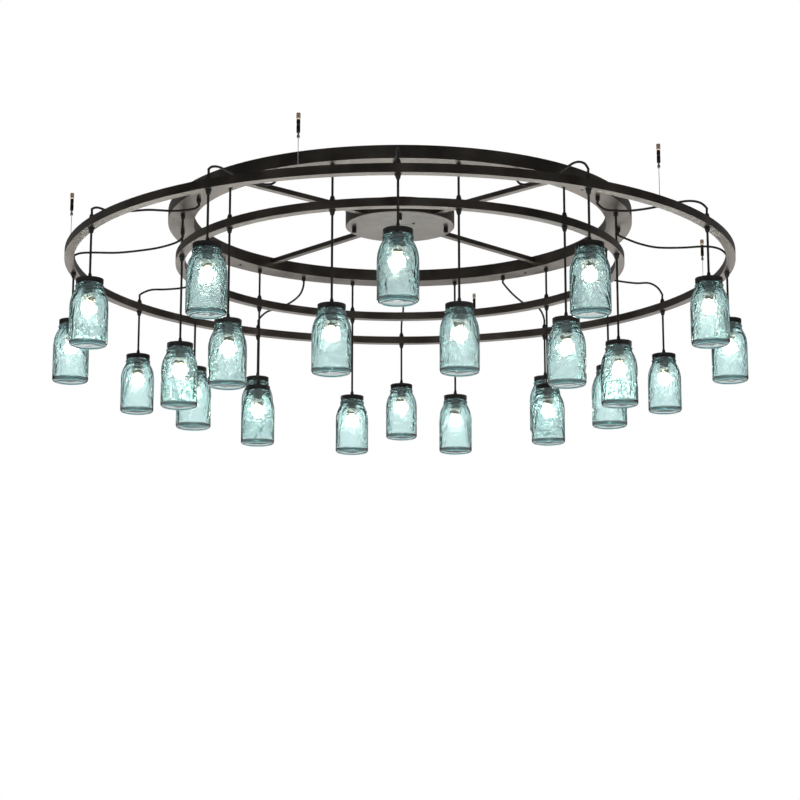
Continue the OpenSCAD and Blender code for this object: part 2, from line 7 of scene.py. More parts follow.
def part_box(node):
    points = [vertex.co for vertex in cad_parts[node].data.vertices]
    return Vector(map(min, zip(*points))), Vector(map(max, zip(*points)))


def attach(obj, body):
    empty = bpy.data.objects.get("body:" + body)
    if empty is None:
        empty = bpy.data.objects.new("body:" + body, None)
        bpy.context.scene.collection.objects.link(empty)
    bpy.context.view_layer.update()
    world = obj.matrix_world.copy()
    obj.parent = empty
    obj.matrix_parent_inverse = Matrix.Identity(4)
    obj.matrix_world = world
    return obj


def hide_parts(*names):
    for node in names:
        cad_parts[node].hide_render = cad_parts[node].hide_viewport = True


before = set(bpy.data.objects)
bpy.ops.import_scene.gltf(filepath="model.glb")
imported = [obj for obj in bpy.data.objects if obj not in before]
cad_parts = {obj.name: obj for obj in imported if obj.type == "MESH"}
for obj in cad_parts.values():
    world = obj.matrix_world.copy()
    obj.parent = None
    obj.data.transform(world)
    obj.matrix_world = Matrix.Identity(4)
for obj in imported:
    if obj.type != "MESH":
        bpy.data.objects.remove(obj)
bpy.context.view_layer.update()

# Real sizes in metres. Heights of the frame are from the ceiling, those of a pendant and its jar from
# the top of the lid.
MM = 0.001
RINGS = {"outer": 902 * MM, "inner": 604 * MM}
PER_RING = 12
STEP = 360 / PER_RING       # degrees from one pendant to the next
INNER_TURN = -0.8           # degrees that the inner ring stands off its even places
RACEWAY_R = 604 * MM
CORD_R = 3 * MM
LID_R, LID_H, LID_SHEET, LID_TAPER = 35 * MM, 12.5 * MM, 0.8 * MM, 0.4 * MM
RIM_DROP = 1.1 * MM
RELIEF_FOOT_R, RELIEF_END_R, RELIEF_H, RELIEF_NECK = 6.5 * MM, 4 * MM, 15 * MM, 6 * MM
NECK_THREAD_R = 5 * MM
HOLDER_CAP_R, HOLDER_R, HOLDER_LOW = 11 * MM, 14 * MM, 56 * MM
HOLDER_MOUTH_R, HOLDER_MOUTH_H, HOLDER_BORE_R, HOLDER_BORE_TOP = 11.5 * MM, 10 * MM, 7.2 * MM, 31 * MM
HOLDER_RING_R, HOLDER_RING_TOP, HOLDER_RING_H = 20 * MM, 41 * MM, 7 * MM
LAMP_R, LAMP_DROP, LAMP_BASE_R, LAMP_BASE_LOW, LAMP_BASE_TOP = 17.5 * MM, 75.5 * MM, 7 * MM, 51 * MM, 33 * MM
JAR_R, JAR_H, JAR_WALL = 49 * MM, 173.5 * MM, 3 * MM
JAR_NECK_R, JAR_SHOULDER_TOP, JAR_SHOULDER_H = 31.2 * MM, 27 * MM, 50 * MM
JAR_HEEL, JAR_PUNT = 9.5 * MM, 2.5 * MM


# Camera, at the photograph's place: under the light and in front of it, looking up
LENS_MM = 88.85
CAMERA_DISTANCE, CAMERA_HEIGHT = 5.2845, -1.5575
CAMERA_TILT, CAMERA_TURN = radians(10.99), radians(0.29)
camera_data = bpy.data.cameras.new("camera")
camera_data.lens = LENS_MM
camera_data.clip_end = 200
camera = bpy.data.objects.new("camera", camera_data)
bpy.context.scene.collection.objects.link(camera)
camera.location = (CAMERA_DISTANCE * sin(CAMERA_TURN), -CAMERA_DISTANCE * cos(CAMERA_TURN), CAMERA_HEIGHT)
camera.rotation_euler = (pi / 2 + CAMERA_TILT, 0, CAMERA_TURN)
bpy.context.scene.camera = camera


# Shader maths as Python expressions
class Value:
    """A number or colour that leaves one socket of a node."""

    def __init__(self, finish, socket):
        self.finish, self.socket = finish, socket

    def maths(self, operation, first, second):
        return self.finish.node("ShaderNodeMath", {"operation": operation}, {0: first, 1: second})

    def __add__(self, other):
        return self.maths("ADD", self, other)

    def __mul__(self, other):
        return self.maths("MULTIPLY", self, other)

    def __rsub__(self, other):
        return self.maths("SUBTRACT", other, self)

    def between(self, low, high, new_low=0.0, new_high=1.0):
        """This value, taken from one span to another and held inside it."""
        spans = {"From Min": low, "From Max": high, "To Min": new_low, "To Max": new_high}
        return self.finish.node("ShaderNodeMapRange", {"clamp": True}, {"Value": self, **spans})


class Nodes:
    """A node tree that is being written."""

    def __init__(self, owner, output_kind):
        owner.use_nodes = True
        self.nodes, self.links = owner.node_tree.nodes, owner.node_tree.links
        self.nodes.clear()
        self.output = self.nodes.new(output_kind)

    def feed(self, socket, value):
        if isinstance(value, Value):
            self.links.new(value.socket, socket)
        elif hasattr(socket.default_value, "__len__") and len(socket.default_value) == 4:
            socket.default_value = (*value, 1)[:4]
        else:
            socket.default_value = value

    def node(self, kind, settings=None, sockets=None, out=0):
        """Adds a node: its settings first, then the values or links of its sockets."""
        made = self.nodes.new(kind)
        for name, value in (settings or {}).items():
            setattr(made, name, value)
        for name, value in (sockets or {}).items():
            self.feed(made.inputs[name], value)
        return Value(self, made.outputs[out])


class Finish(Nodes):
    """One material: a Principled shader and the nodes that feed it."""

    def __init__(self, name, **plain):
        self.material = bpy.data.materials.new(name)
        super().__init__(self.material, "ShaderNodeOutputMaterial")
        self.shader = self.nodes.new("ShaderNodeBsdfPrincipled")
        self.links.new(self.shader.outputs[0], self.output.inputs["Surface"])
        self.set(**plain)

    def place(self, scale=(1, 1, 1), turn=(0, 0, 0)):
        """Where a point of the surface lies in the piece's own frame, stretched and turned."""
        point = self.node("ShaderNodeTexCoord", out="Object")
        return self.node("ShaderNodeMapping", sockets={"Vector": point, "Scale": scale, "Rotation": turn})

    def height(self):
        """How high a point of the surface lies in the piece's own frame."""
        point = self.node("ShaderNodeTexCoord", out="Object")
        return self.node("ShaderNodeSeparateXYZ", sockets={"Vector": point}, out="Z")

    def grain(self, size, detail=2.0, roughness=0.5, distortion=0.0, stretch=(1, 1, 1), turn=(0, 0, 0)):
        """Cloudy noise whose blotches are about this size in metres, from 0 to 1."""
        point = self.place(stretch, turn)
        looks = {"Scale": 1 / size, "Detail": detail, "Roughness": roughness, "Distortion": distortion}
        return self.node("ShaderNodeTexNoise", sockets={"Vector": point, **looks})

    def blend(self, share, first, second):
        """One colour turning into another."""
        sockets = {0: share, 6: first, 7: second}
        return self.node("ShaderNodeMix", {"data_type": "RGBA"}, sockets, out=2)

    def relief(self, height, depth):
        """A normal that is raised by a height from 0 to 1, so many metres deep."""
        return self.node("ShaderNodeBump", sockets={"Height": height, "Distance": depth, "Strength": 1.0})

    def set(self, **varying):
        for socket, value in varying.items():
            self.feed(self.shader.inputs[socket.replace("_", " ")], value)
        return self.material


# Finishes
def powder_coat(name, dark, light, sheen, **plain):
    """Baked paint on steel: fine orange peel, faint clouds in colour and gloss."""
    f = Finish(name, **plain)
    clouds = f.grain(0.09, detail=3)
    peel = f.grain(0.0016, detail=1)
    return f.set(Base_Color=f.blend(clouds.between(0.35, 0.65), dark, light),
                 Roughness=clouds.between(0.3, 0.7, sheen, sheen + 0.1),
                 Normal=f.relief(peel, 0.00012))


def brushed_coat(name, dark, light):
    """Paint over brushed steel: long fine scratches along one way."""
    f = Finish(name, Metallic=1.0)
    scratches = f.grain(0.006, detail=4, roughness=0.7, stretch=(0.05, 1.6, 1))
    clouds = f.grain(0.12, detail=2)
    return f.set(Base_Color=f.blend(clouds.between(0.3, 0.7), dark, light),
                 Roughness=scratches.between(0.3, 0.7, 0.26, 0.34),
                 Normal=f.relief(scratches, 0.00001))


def moulded(name, colour, roughness, specular=0.5):
    """Moulded plastic or rubber: a fine matt texture."""
    f = Finish(name, Specular_IOR_Level=specular)
    texture = f.grain(0.0009, detail=2)
    clouds = f.grain(0.02)
    pale = tuple(1.35 * c + 0.002 for c in colour)
    return f.set(Base_Color=f.blend(clouds.between(0.35, 0.65), colour, pale),
                 Roughness=texture.between(0.3, 0.7, roughness - 0.05, roughness + 0.05),
                 Normal=f.relief(texture, 0.00006))


def bare_metal(name, colour, roughness, scratch_size=0.004):
    """Turned or drawn metal with fine marks."""
    f = Finish(name, Metallic=1.0)
    marks = f.grain(scratch_size, detail=3, stretch=(1, 1, 9))
    dull = tuple(0.72 * c for c in colour)
    return f.set(Base_Color=f.blend(marks.between(0.3, 0.75), colour, dull),
                 Roughness=marks.between(0.3, 0.7, roughness, roughness + 0.14),
                 Normal=f.relief(marks, 0.00003))


def jacket(name):
    """The jacket of the cords: black, with a faint weave."""
    f = Finish(name, Specular_IOR_Level=0.2)
    weave = f.grain(0.0011, detail=2, stretch=(1, 1, 2.5))
    clouds = f.grain(0.03)
    colour = f.blend(clouds.between(0.3, 0.7), (0.005, 0.0045, 0.004), (0.012, 0.0105, 0.0095))
    return f.set(Base_Color=colour,
                 Roughness=weave.between(0.3, 0.7, 0.5, 0.65),
                 Normal=f.relief(weave, 0.00015))


def jar_glass(name):
    """Old pressed glass, aqua, with ripples, swirls and seeds, calm at its foot. The dark line of the
    thick heel is painted shade: a dark-teal metallic band painted on the heel."""
    f = Finish(name, Transmission_Weight=1.0, IOR=1.5)
    swirls = f.grain(0.05, detail=1, distortion=1.2, stretch=(1, 1, 0.6), turn=(0.6, 0.35, 0))
    ripples = f.grain(0.012, detail=1, distortion=0.6)
    seeds = f.node("ShaderNodeTexVoronoi", {"feature": "F1"},
                   {"Vector": f.place(), "Scale": 150.0, "Randomness": 1.0})
    z = f.height()
    calm = z.between(-0.167, -0.15, 0.15, 1.0)
    height = (swirls * 0.8 + ripples * 0.32 + seeds.between(0.0, 0.09, 0.02, 0.0)) * calm
    # Painted shade: this mask marks a band on the heel, where thick glass shows a dark line.
    heel = z.between(-0.1735, -0.1731) * (1 - z.between(-0.1713, -0.1707))
    depths = f.node("ShaderNodeVolumeAbsorption", {}, {"Color": (0.08, 0.57, 0.57), "Density": 85.0})
    f.links.new(depths.socket, f.output.inputs["Volume"])
    # The heel band takes a painted-shade colour, dark teal and metallic.
    return f.set(Base_Color=f.blend(heel, (0.95, 0.99, 0.99), (0.008, 0.11, 0.12)), Metallic=heel,
                 Roughness=swirls.between(0.35, 0.75, 0.02, 0.12), Normal=f.relief(height, 0.0095))


def lit_globe(name):
    """The lamp's frosted globe, alight, a little dimmer and warmer at its neck."""
    f = Finish(name, Base_Color=(0.9, 0.88, 0.84), Roughness=0.35)
    neck = f.height().between(-0.064, -0.056)
    frost = f.grain(0.004)
    warm = f.blend(neck, (1.0, 0.93, 0.82), (1.0, 0.68, 0.34))
    glow = frost.between(0.3, 0.7, 0.94, 1.0) * (1 - neck * 0.96)
    light = f.node("ShaderNodeVectorMath", {"operation": "SCALE"}, {0: warm, "Scale": glow})
    f.shader.inputs["Emission Strength"].default_value = 18.0
    return f.set(Emission_Color=light)


FRAME_PAINT = powder_coat("bronze black metallic coat", (0.165, 0.146, 0.13), (0.22, 0.196, 0.174), 0.28,
                          Metallic=1.0)
CANOPY_PAINT = brushed_coat("brushed bronze coat", (0.16, 0.147, 0.137), (0.21, 0.195, 0.18))
SATIN_BLACK = powder_coat("satin black", (0.004, 0.0039, 0.0038), (0.008, 0.0077, 0.0074), 0.34,
                          Specular_IOR_Level=0.2)
BLACK_NYLON = moulded("black nylon", (0.004, 0.0038, 0.0036), 0.48, 0.25)
# Painted reflection: the holder is black nylon, made grey here to stand in for the glass's reflections over
# it.
HOLDER_PAINTED_REFLECTION = moulded("lamp holder lightened by painted reflection", (0.11, 0.115, 0.12), 0.36)
PORCELAIN = moulded("white porcelain", (0.72, 0.71, 0.68), 0.3)
CORD_JACKET = jacket("black cord jacket")
ZINC = bare_metal("zinc plate", (0.55, 0.56, 0.57), 0.35)
CABLE_STEEL = bare_metal("steel cable", (0.86, 0.85, 0.84), 0.4, 0.002)
BRASS = bare_metal("gripper brass", (0.92, 0.72, 0.5), 0.45)
GRIPPER_BROWN = bare_metal("oiled gripper body", (0.09, 0.06, 0.045), 0.3)
AQUA_GLASS = jar_glass("aqua glass")
LIT_GLOBE = lit_globe("lit globe")


# Meshes
def smooth_mesh(name, vertices, faces, material, smooth_angle=35):
    """A mesh from points and faces, smooth but for its sharp edges."""
    mesh = bpy.data.meshes.new(name)
    mesh.from_pydata(vertices, [], faces)
    mesh.validate()
    mesh.update()
    mesh.shade_smooth()
    mesh.set_sharp_from_angle(angle=radians(smooth_angle))
    mesh.materials.append(material)
    return mesh


def link(name, data):
    piece = bpy.data.objects.new(name, data)
    bpy.context.scene.collection.objects.link(piece)
    return piece


def lathe_mesh(name, outline, material, sides=64, smooth_angle=35, shift=None):
    """A body turned round its own axis from an outline of radii and heights that runs from the
    axis or a bore, round the outside and back. shift moves a point, such as for a ripple."""
    vertices, rings = [], []
    turning = sum(a[0] * b[1] - b[0] * a[1] for a, b in zip(outline, [*outline[1:], outline[0]]))
    for r, z in outline if turning > 0 else outline[::-1]:
        count = 1 if r < 1e-9 else sides
        rings.append((len(vertices), count))
        for k in range(count):
            a = 2 * pi * k / sides
            point = Vector((r * cos(a), r * sin(a), z))
            vertices.append(shift(point, a) if shift else point)
    faces = []
    closed = outline[0][0] > 1e-9
    pairs = list(zip(rings, rings[1:])) + ([(rings[-1], rings[0])] if closed else [])
    for (low, n_low), (high, n_high) in pairs:
        for k in range(sides):
            j = (k + 1) % sides
            if n_low == 1 and n_high == 1:
                break
            if n_low == 1:
                faces.append((low, high + j, high + k))
            elif n_high == 1:
                faces.append((low + k, low + j, high))
            else:
                faces.append((low + k, low + j, high + j, high + k))
    return smooth_mesh(name, vertices, faces, material, smooth_angle)


def rounded(outline, radius, steps=4):
    """The outline with each inner corner rounded, by no more than its sides allow."""
    result = [outline[0]]
    for before, corner, after in zip(outline, outline[1:], outline[2:]):
        a, c, b = Vector(before), Vector(corner), Vector(after)
        reach = min(radius, (a - c).length * 0.45, (b - c).length * 0.45)
        start, end = c + (a - c).normalized() * reach, c + (b - c).normalized() * reach
        for s in range(steps + 1):
            t = s / steps
            result.append(tuple((1 - t) ** 2 * start + 2 * t * (1 - t) * c + t * t * end))
    return result + [outline[-1]]


def smooth_route(points, steps):
    """Points on a smooth curve through a list of points, several to each stretch."""
    last, found = len(points) - 1, []
    for i in range(last):
        a, b, c, d = (Vector(points[min(max(i + k, 0), last)]) for k in (-1, 0, 1, 2))
        for s in range(steps):
            t = s / steps
            found.append(0.5 * (2 * b + (c - a) * t + (2 * a - 5 * b + 4 * c - d) * t * t
                                + (3 * b - a - 3 * c + d) * t ** 3))
    return found + [Vector(points[last])]


def cord_piece(name, points, radius, material, domed=False):
    """A round cord along points, as a curve. A domed one runs up into a round end."""
    bends = [radians(t) for t in (30, 60, 85)] if domed else []
    points = [*points, *(points[-1] + Vector((0, 0, radius * sin(t))) for t in bends)]
    data = bpy.data.curves.new(name, "CURVE")
    data.dimensions = "3D"
    data.bevel_depth, data.bevel_resolution, data.use_fill_caps = radius, 6, True
    spline = data.splines.new("POLY")
    spline.points.add(len(points) - 1)
    for slot, point in zip(spline.points, points):
        slot.co = (*point, 1)
    for slot, t in zip(spline.points[-len(bends):], bends):
        slot.radius = cos(t)
    data.materials.append(material)
    return link(name, data)


def around(radius, angle, z=0.0):
    """A point at a radius, an angle in degrees from the near side, and a height."""
    return Vector((radius * sin(radians(angle)), -radius * cos(radians(angle)), z))


# Feed cords, with the part's own route points in metres: radius and height. They end just above the
# hinge of the pendant's cord, so that neither cuts into the other at the limits.
CORD_TOP, GLAND_LOW, CORD_LEAD = -40.5 * MM, -61 * MM, 8 * MM
ROUTE_STEPS = 8
OUTER_GRIP_TOP, OUTER_FEED_END, INNER_FEED_END = -131.3 * MM, -191.6 * MM, -183.6 * MM
OUTER_ROUTES = [
    [(0.623, -0.086), (0.668, -0.102), (0.725, -0.107), (0.795, -0.104), (0.848, -0.099), (0.884, -0.106)],
    [(0.621, -0.086), (0.666, -0.101), (0.722, -0.108), (0.790, -0.102), (0.848, -0.094), (0.884, -0.104)],
    [(0.626, -0.088), (0.680, -0.099), (0.730, -0.102), (0.785, -0.100), (0.848, -0.097), (0.884, -0.106)],
    [(0.627, -0.080), (0.664, -0.094), (0.712, -0.104), (0.780, -0.104), (0.846, -0.100), (0.884, -0.107)],
    [(0.624, -0.087), (0.672, -0.101), (0.737, -0.104), (0.802, -0.102), (0.852, -0.095), (0.884, -0.104)],
    [(0.630, -0.079), (0.675, -0.091), (0.741, -0.101), (0.800, -0.100), (0.856, -0.094), (0.887, -0.105)],
    [(0.622, -0.085), (0.668, -0.100), (0.730, -0.107), (0.798, -0.106), (0.852, -0.101), (0.884, -0.108)],
    [(0.611, -0.084), (0.634, -0.100), (0.690, -0.110), (0.770, -0.111), (0.838, -0.107), (0.878, -0.113)],
    [(0.619, -0.086), (0.664, -0.106), (0.735, -0.119), (0.805, -0.117), (0.856, -0.112), (0.885, -0.116)],
    [(0.622, -0.084), (0.666, -0.098), (0.718, -0.107), (0.785, -0.114), (0.850, -0.114), (0.884, -0.116)],
    [(0.621, -0.080), (0.675, -0.093), (0.745, -0.101), (0.800, -0.113), (0.852, -0.121), (0.886, -0.117)],
    [(0.624, -0.084), (0.680, -0.099), (0.742, -0.104), (0.800, -0.106), (0.852, -0.105), (0.885, -0.112)],
]


def outer_route(k):
    """The smooth route of one outer feed cord, from inside the raceway into its lower grip."""
    start, end = RACEWAY_R, RINGS["outer"]
    stops = [(start, CORD_TOP), (start, GLAND_LOW), (start, GLAND_LOW - CORD_LEAD), *OUTER_ROUTES[k],
             (end, OUTER_GRIP_TOP + CORD_LEAD), (end, OUTER_GRIP_TOP), (end, OUTER_FEED_END)]
    points = [around(r, STEP * k + INNER_TURN * (end - r) / (end - start), z) for r, z in stops]
    return smooth_route(points, ROUTE_STEPS)


def length_of(points):
    return sum((b - a).length for a, b in zip(points, points[1:]))


outer_angles = [STEP * k for k in range(PER_RING)]
inner_angles = [STEP * k + STEP / 2 + INNER_TURN for k in range(PER_RING)]
for k in range(PER_RING):
    slack = outer_route(k)
    lead = cord_piece(f"outer_feed_cord_{k + 1:02}", slack, CORD_R, CORD_JACKET)
    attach(lead, "frame")
    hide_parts("feed_cords")
    length_of(slack)
    plumb = [around(RACEWAY_R, inner_angles[k], z) for z in (CORD_TOP, INNER_FEED_END)]
    drop = cord_piece(f"inner_feed_cord_{k + 1:02}", plumb, CORD_R, CORD_JACKET)
    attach(drop, "frame")
    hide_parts("feed_cords")


# Frame pieces whose CAD shape is the real one take a better finish
FRAME_FINISHES = {
    "mounting_plate": ZINC, "canopy_dish": CANOPY_PAINT, "canopy_fasteners": SATIN_BLACK,
    "spokes": FRAME_PAINT, "raceway_channel": FRAME_PAINT, "raceway_covers": FRAME_PAINT,
    "outer_hoop": FRAME_PAINT, "inner_hoop": FRAME_PAINT,
}
for node, finish in FRAME_FINISHES.items():
    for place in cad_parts[node].material_slots:
        place.material = finish


# Glands under the raceway with their lock nuts, and a grip above and below each hoop
RACEWAY_LOW, COVER_SHEET = -50 * MM, 1.5 * MM
HOOP_FACES = {"outer": (-151 * MM, -173 * MM), "inner": (-143 * MM, -165 * MM)}
GLAND_R, GLAND_NECK, LOCK_NUT_R, LOCK_NUT_H = 6 * MM, 6.5 * MM, 8.5 * MM, 3 * MM
GRIP_FLANGE_R, GRIP_NUT_R, GRIP_END_R, GRIP_NECK = 8.75 * MM, 6.9 * MM, 4.3 * MM, 4 * MM
CORD_BORE_R = CORD_R + 0.2 * MM


def grip_outline():
    body = [(NECK_THREAD_R, -GRIP_NECK), (NECK_THREAD_R, 0), (GRIP_FLANGE_R, 0), (GRIP_FLANGE_R, 1.2 * MM),
            (GRIP_NUT_R, 1.4 * MM), (GRIP_NUT_R, 5.6 * MM), (GRIP_NUT_R - 0.5 * MM, 6.1 * MM),
            (GRIP_END_R + 0.7 * MM, 12.6 * MM), (GRIP_END_R, 13.6 * MM), (CORD_BORE_R + 0.3 * MM, 13.6 * MM)]
    return [(CORD_BORE_R, -GRIP_NECK), *rounded(body, 0.5 * MM), (CORD_BORE_R, 13.3 * MM)]


def gland_outline():
    low = GLAND_LOW - RACEWAY_LOW
    groove = GLAND_R - 0.5 * MM
    body = [(GLAND_R - 1.2 * MM, low), (GLAND_R, low + 2.2 * MM), (GLAND_R, -2.4 * MM), (groove, -2 * MM),
            (groove, -1.4 * MM), (GLAND_R, -1 * MM), (GLAND_R, 0), (NECK_THREAD_R, 0),
            (NECK_THREAD_R, GLAND_NECK)]
    return [(CORD_BORE_R, low), *rounded(body, 0.4 * MM), (CORD_BORE_R, GLAND_NECK)]


def lock_nut_outline():
    bore, top = NECK_THREAD_R + 0.1 * MM, COVER_SHEET + LOCK_NUT_H
    return [(bore, COVER_SHEET), (LOCK_NUT_R, COVER_SHEET), (LOCK_NUT_R, top), (bore, top)]


def copies(name, mesh, places):
    """One piece made of a mesh that is repeated at many places."""
    vertices, faces = [], []
    for place in places:
        first = len(vertices)
        vertices += [place @ v.co for v in mesh.vertices]
        faces += [[first + i for i in face.vertices] for face in mesh.polygons]
    piece = link(name, smooth_mesh(name, vertices, faces, BLACK_NYLON))
    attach(piece, "frame")
    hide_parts("cord_grips")


under_raceway = [Matrix.Translation(around(RACEWAY_R, a, RACEWAY_LOW))
                 for a in [a + INNER_TURN for a in outer_angles] + inner_angles]
on_hoops = [Matrix.Translation(around(RINGS[ring], a, face)) @ Matrix.Rotation(side * pi, 4, "X")
            for ring, angles in (("outer", outer_angles), ("inner", inner_angles)) for a in angles
            for side, face in enumerate(HOOP_FACES[ring])]
copies("hoop_grips", lathe_mesh("hoop_grip", grip_outline(), BLACK_NYLON, 40), on_hoops)
copies("glands", lathe_mesh("gland", gland_outline(), BLACK_NYLON, 40), under_raceway)
copies("lock_nuts", lathe_mesh("lock_nut", lock_nut_outline(), BLACK_NYLON, 6), under_raceway)


# One mesh for each piece that repeats; heights are measured from the top of the lid
def relief_outline():
    body = [(NECK_THREAD_R, -RELIEF_NECK), (NECK_THREAD_R, 0.1 * MM), (RELIEF_FOOT_R, 0.1 * MM),
            (RELIEF_FOOT_R, 2.5 * MM), (RELIEF_FOOT_R - 0.8 * MM, 3.4 * MM),
            (RELIEF_END_R + 0.7 * MM, 9 * MM), (RELIEF_END_R, RELIEF_H)]
    return [(CORD_BORE_R, -RELIEF_NECK), *rounded(body, 0.5 * MM), (CORD_BORE_R, RELIEF_H)]


def lid_outline():
    """A pressed screw band: rounded edge, one faint thread ridge and a rolled lower lip."""
    hole, low = NECK_THREAD_R + 0.2 * MM, -LID_H
    side = lambda z: LID_R - LID_TAPER * (-z / LID_H)
    outside = [(hole, 0), (LID_R - 4 * MM, 0), (LID_R - 3.2 * MM, -0.5 * MM), (LID_R - 2.4 * MM, -0.05 * MM),
               (side(0) - 0.5 * MM, -0.2 * MM), (side(-1.6 * MM), -1.6 * MM), (side(-3.4 * MM), -3.4 * MM),
               (side(-4.2 * MM) - 0.35 * MM, -4.2 * MM), (side(-5.2 * MM) - 0.35 * MM, -5.2 * MM),
               (side(-6 * MM), -6 * MM), (side(-9.5 * MM), -9.5 * MM), (side(low) + 0.1 * MM, low + 0.9 * MM),
               (side(low), low)]
    inside = [(side(low) - LID_SHEET, low), (LID_R - 3 * LID_SHEET, -2 * MM), (LID_R - 4 * MM, -LID_SHEET),
              (hole, -LID_SHEET)]
    return [outside[0], *rounded(outside[1:], 0.45 * MM), *inside]


def holder_outline():
    body = [(HOLDER_CAP_R, -0.9 * MM), (HOLDER_CAP_R, -6 * MM), (HOLDER_R, -10 * MM), (HOLDER_R, -24 * MM),
            (HOLDER_R - 0.8 * MM, -24.8 * MM), (HOLDER_R - 0.8 * MM, -26 * MM), (HOLDER_R, -26.8 * MM)]
    thread_top, pitch, turns = 34 * MM, 2.5 * MM, 8
    for k in range(turns):
        body += [(HOLDER_R, -thread_top - k * pitch), (HOLDER_R - 0.5 * MM, -thread_top - (k + 0.5) * pitch)]
    body += [(HOLDER_R, -HOLDER_LOW + 1 * MM), (HOLDER_R, -HOLDER_LOW), (HOLDER_MOUTH_R, -HOLDER_LOW)]
    mouth = -HOLDER_LOW + HOLDER_MOUTH_H
    return [(0, -0.9 * MM), *rounded(body, 0.6 * MM), (HOLDER_MOUTH_R, mouth), (HOLDER_BORE_R, mouth),
            (HOLDER_BORE_R, -HOLDER_BORE_TOP), (0, -HOLDER_BORE_TOP)]


def holder_ring_outline():
    top, low, bore = -HOLDER_RING_TOP, -HOLDER_RING_TOP - HOLDER_RING_H, HOLDER_R + 0.2 * MM
    body = [(bore, low), (HOLDER_RING_R - 1 * MM, low), (HOLDER_RING_R, low + 0.8 * MM),
            (HOLDER_RING_R, top - 2.2 * MM), (HOLDER_RING_R - 2.4 * MM, top), (bore, top)]
    return [body[0], *rounded(body[1:], 1.2 * MM)]


def lamp_outline():
    """A globe that runs into its neck in one sweep, on a screw base."""
    outline = [(0, -LAMP_BASE_TOP + 1.8 * MM), (3.5 * MM, -LAMP_BASE_TOP + 1.8 * MM),
               (LAMP_BASE_R - 2 * MM, -LAMP_BASE_TOP)]
    turns, pitch = 5, 2.8 * MM
    for k in range(turns * 4 + 1):
        z = -LAMP_BASE_TOP - 1.2 * MM - k * pitch / 4
        outline.append((LAMP_BASE_R - 0.3 * MM * (1 - cos(k * pi / 2)), z))
    start = LAMP_BASE_LOW
    outline.append((LAMP_BASE_R, -start))
    join = radians(40)
    neck_end = (LAMP_R * sin(join), -(LAMP_DROP - LAMP_R * cos(join)))
    for t in (0.25, 0.5, 0.75):
        swell = t * t * (3 - 2 * t)
        outline.append((LAMP_BASE_R + (neck_end[0] - LAMP_BASE_R) * swell,
                        -start + (neck_end[1] + start) * t))
    for k in range(25):
        a = join + (pi - join) * k / 24
        outline.append((LAMP_R * sin(a) if k < 24 else 0, -(LAMP_DROP - LAMP_R * cos(a))))
    return outline


def jar_shoulder(r1, r2, steps):
    return [(r1 + (r2 - r1) * (1 - (1 - s / steps) ** 2.2),
             -JAR_SHOULDER_TOP - s / steps * JAR_SHOULDER_H) for s in range(steps + 1)]


def jar_outline():
    """The jar's section: rim, threads, collar, shoulder, body, heel and foot, then back inside."""
    n, foot = JAR_NECK_R, JAR_R - JAR_HEEL
    mouth = [(n - JAR_WALL, -RIM_DROP), (n, -RIM_DROP), (n, -4 * MM), (n + 1 * MM, -5 * MM),
             (n + 1 * MM, -6.5 * MM), (n, -7.5 * MM), (n, -10.4 * MM), (n + 2.2 * MM, -12 * MM),
             (n + 1 * MM, -14.2 * MM), (n + 2.6 * MM, -16.4 * MM), (n + 5.2 * MM, -18.4 * MM),
             (n + 5.2 * MM, -20.6 * MM), (n + 3.5 * MM, -23.6 * MM)]
    outside = rounded([*mouth, jar_shoulder(n + 3.5 * MM, JAR_R, 20)[1]], 1.1 * MM, 5)[:-1]
    outside += jar_shoulder(n + 3.5 * MM, JAR_R, 20)[1:]
    outside += [(JAR_R, -z * MM) for z in range(84, 159, 7)]
    heel = [(foot + JAR_HEEL * cos(t), -JAR_H + JAR_HEEL - JAR_HEEL * sin(t))
            for t in (radians(9 * k) for k in range(1, 11))]
    outside += heel + [(foot - 1.5 * MM, -JAR_H), (foot - 2.5 * MM, -JAR_H + 0.4 * MM),
                       (foot - 4.5 * MM, -JAR_H + JAR_PUNT), (foot * 0.4, -JAR_H + JAR_PUNT),
                       (0, -JAR_H + JAR_PUNT)]
    wall, floor = JAR_R - JAR_WALL, -JAR_H + JAR_PUNT + 3.5 * MM
    inside = [(0, floor), (foot * 0.5, floor), (foot - 8 * MM, floor)]
    inside += [(foot - 4 * MM + (wall - foot + 4 * MM) * sin(t), floor + 7 * MM * (1 - cos(t)))
               for t in (radians(15 * k) for k in range(1, 7))]
    inside += [(wall, -z * MM) for z in range(154, 80, -7)]
    inside += jar_shoulder(n + 1.5 * MM - JAR_WALL + 1 * MM, wall, 20)[::-1]
    inside += [(n + 2 * MM - JAR_WALL, -20 * MM), (n - JAR_WALL, -12 * MM)]
    return outside + inside


RIPPLE_TOP, RIPPLE_LOW, FADE_TOP, FADE_LOW = -24 * MM, -171 * MM, 20 * MM, 15 * MM
RIPPLE_CORE_R, RIPPLE_IN, RIPPLE_OUT = 20 * MM, 1.1 * MM, 0.35 * MM
SOFT_WAVES, FINE_WAVES = 34, 85     # waves to the metre, about


def ripple(point, angle):
    """Old glass is uneven: its wall swells and thins, more inside than outside."""
    r = hypot(point.x, point.y)
    if r < RIPPLE_CORE_R or not RIPPLE_LOW < point.z < RIPPLE_TOP:
        return point
    inside = r < JAR_R - JAR_WALL / 2
    seed = Vector((0, 0, 3)) if inside else Vector((7, 0, 0))
    soft = noise.noise(Vector((point.x, point.y, point.z * 0.7)) * SOFT_WAVES + seed)
    fine = noise.noise(Vector((point.x, point.y, point.z)) * FINE_WAVES + seed)
    share = min(1.0, (RIPPLE_TOP - point.z) / FADE_TOP, (point.z - RIPPLE_LOW) / FADE_LOW)
    if inside:
        move = RIPPLE_IN * share * (0.7 * soft + 0.12 * fine)
    else:
        move = -RIPPLE_OUT * share * (0.5 + 0.7 * soft + 0.12 * fine)
    return Vector((point.x * (1 + move / r), point.y * (1 + move / r), point.z))


